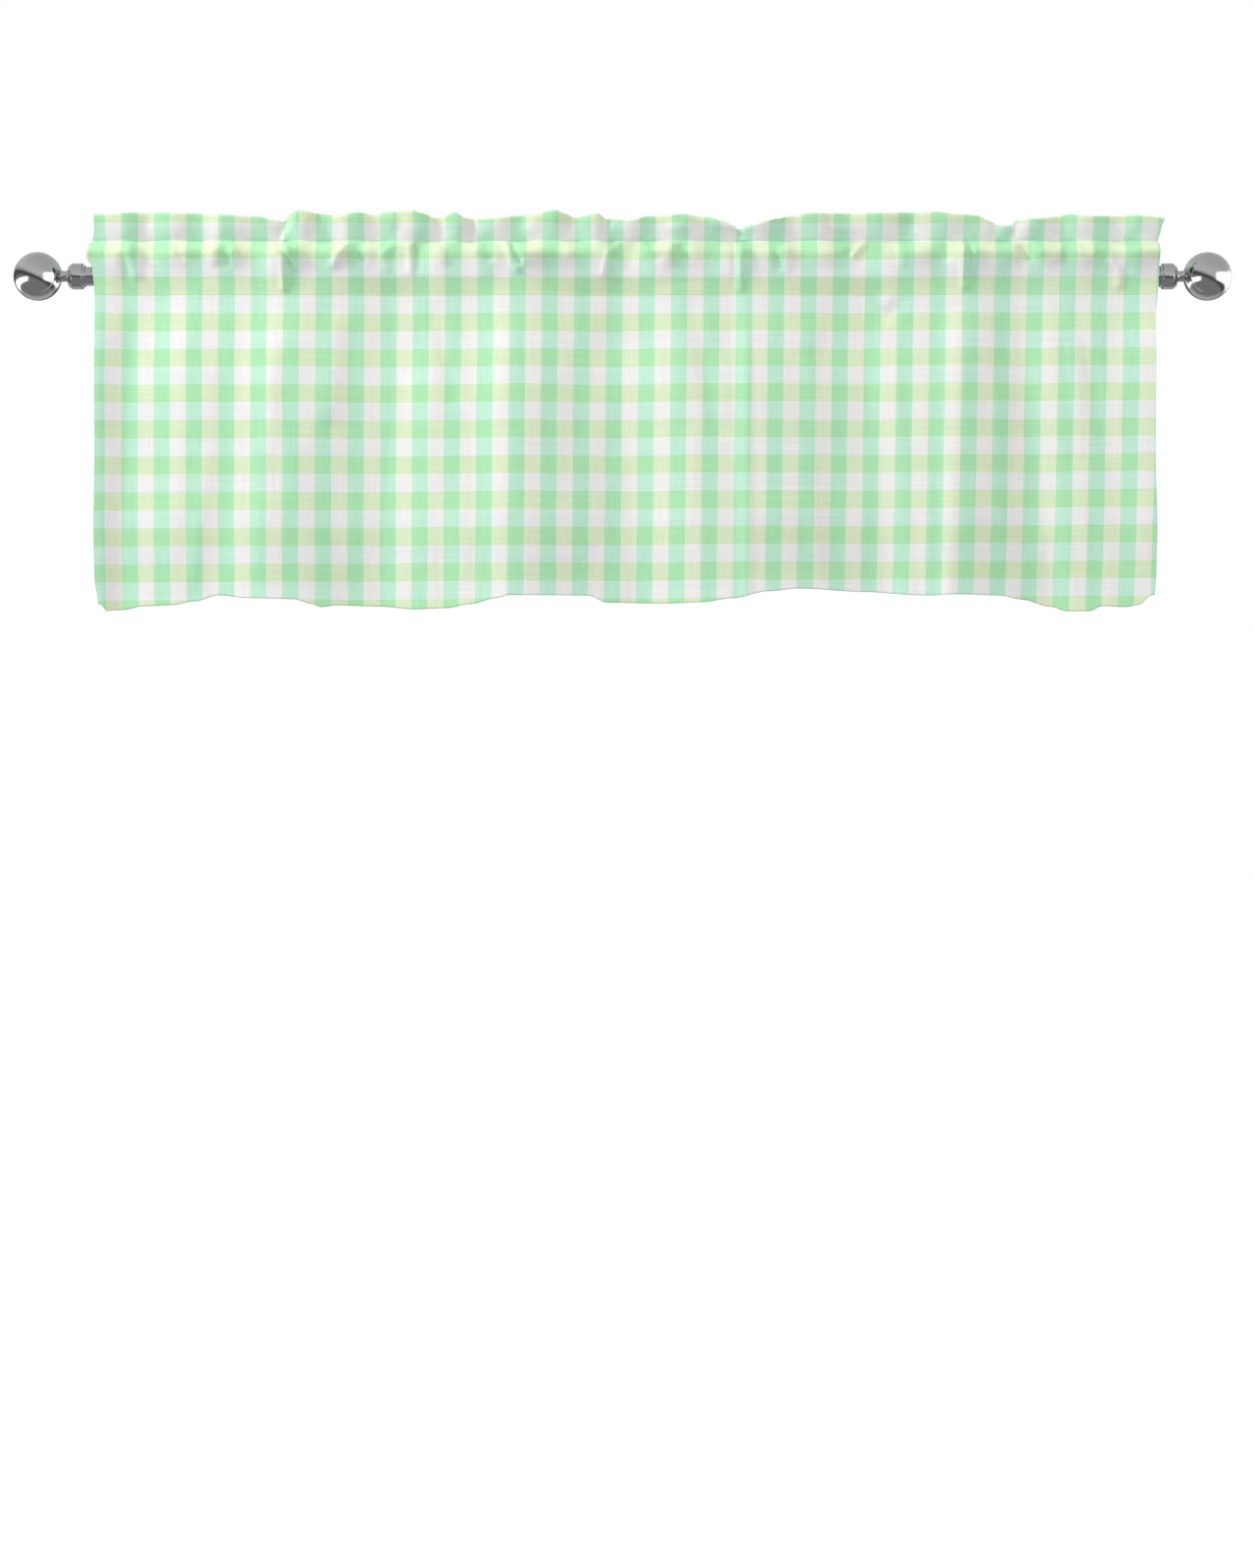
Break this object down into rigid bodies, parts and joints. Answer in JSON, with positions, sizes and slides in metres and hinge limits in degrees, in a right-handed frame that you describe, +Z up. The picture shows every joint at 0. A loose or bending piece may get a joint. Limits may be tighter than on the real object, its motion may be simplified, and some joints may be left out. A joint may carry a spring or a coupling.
{
  "type": "window valance on a curtain rod",
  "caption": "Checked cotton window valance with a ruffled header and rod pocket, gathered lightly on a straight polished curtain rod with ball finials.",
  "frame": {"origin": "on the curtain rod's axis, midway between its two ends", "axes": "+X along the rod, to the right as seen from the room; +Z up; the room is towards -Y"},
  "size_m": [1.417, 0.0595, 0.4669],
  "materials": {
    "checked_cloth": "plain-woven cotton in a green, yellow-green and white check",
    "polished_metal": "polished nickel plate"
  },
  "bodies": {
    "root": {"valance_cloth": "checked_cloth", "rod_tube": "polished_metal", "collar_left": "polished_metal", "collar_right": "polished_metal", "finial_neck_left": "polished_metal", "finial_neck_right": "polished_metal", "finial_ball_left": "polished_metal", "finial_ball_right": "polished_metal"}
  },
  "joints": []
}
